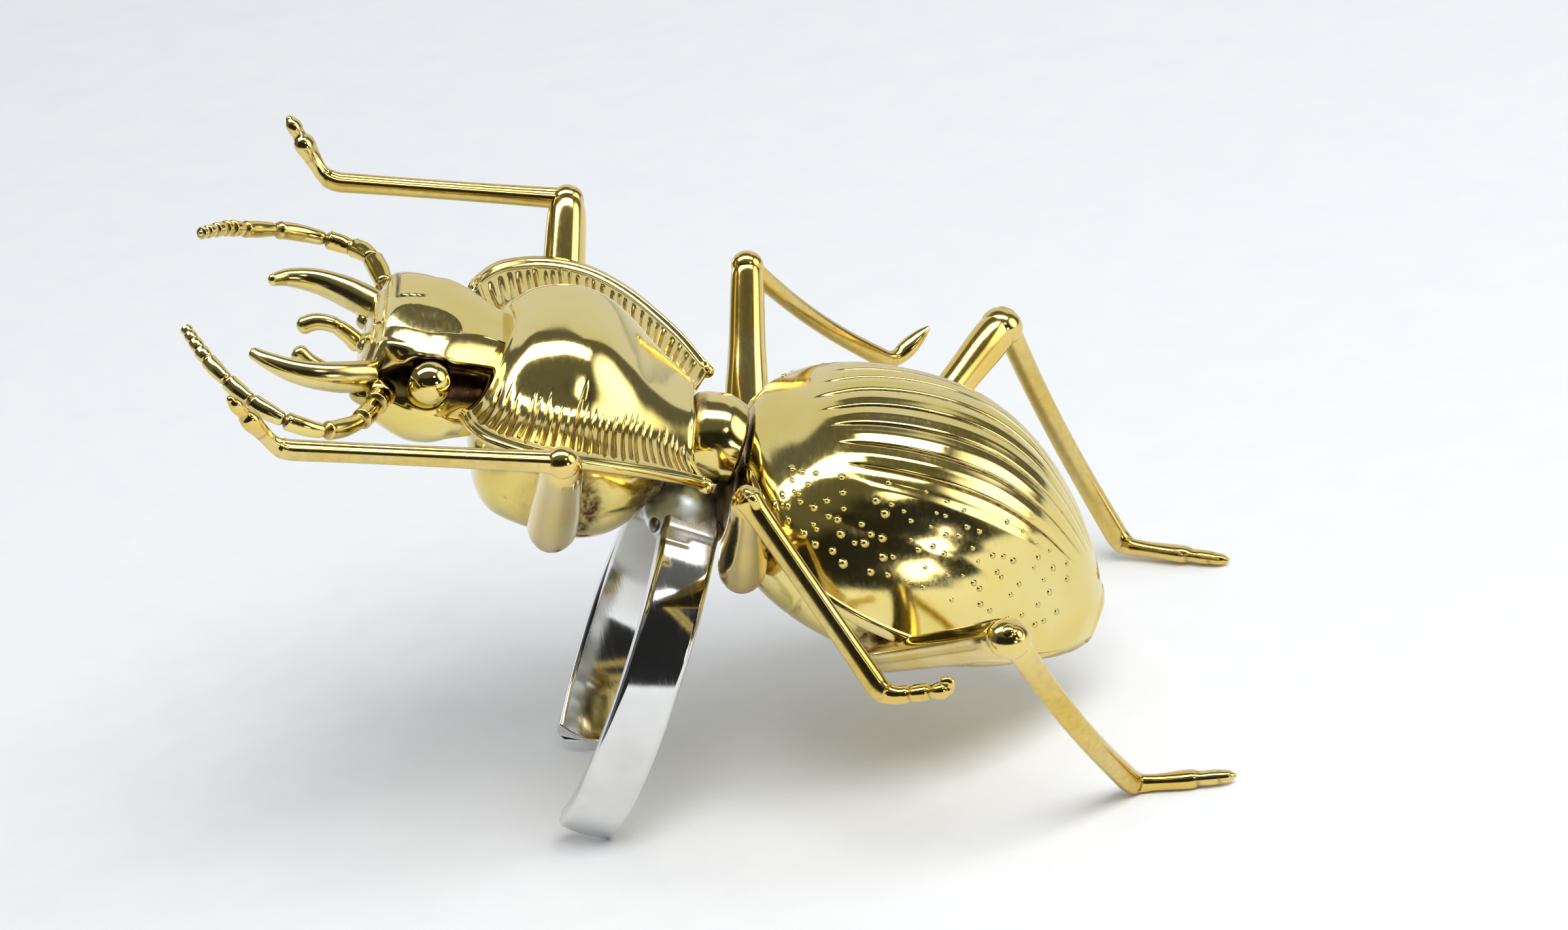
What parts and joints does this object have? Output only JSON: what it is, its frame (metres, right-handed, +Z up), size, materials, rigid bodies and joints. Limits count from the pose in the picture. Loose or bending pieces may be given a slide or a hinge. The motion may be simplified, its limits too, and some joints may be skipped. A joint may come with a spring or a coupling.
{
  "type": "knuckle ring",
  "caption": "Open finger ring whose polished band carries a golden ground beetle with bent legs, jaws and antennae.",
  "frame": {"origin": "middle of the footprint, on the floor that the ring rests on", "axes": "+X towards the beetle's tail, +Y towards its right side, +Z up; the finger runs mostly along X, tipped down at the tail"},
  "size_m": [0.048, 0.04, 0.0344],
  "materials": {
    "golden_metal": "mirror polished, slightly tarnished in the recesses",
    "white_metal": "polished, with fine lengthwise scratches"
  },
  "bodies": {
    "root": {"band": "white_metal", "pronotum": "golden_metal", "prosternum": "golden_metal", "head": "golden_metal", "eye_left": "golden_metal", "eye_right": "golden_metal", "mandible_left": "golden_metal", "mandible_right": "golden_metal", "palp_left": "golden_metal", "palp_right": "golden_metal", "antenna_left": "golden_metal", "antenna_right": "golden_metal", "waist": "golden_metal", "elytra": "golden_metal", "belly": "golden_metal", "leg_front_left": "golden_metal", "leg_front_right": "golden_metal", "leg_mid_left": "golden_metal", "leg_mid_right": "golden_metal", "leg_hind_left": "golden_metal", "leg_hind_right": "golden_metal"}
  },
  "joints": []
}
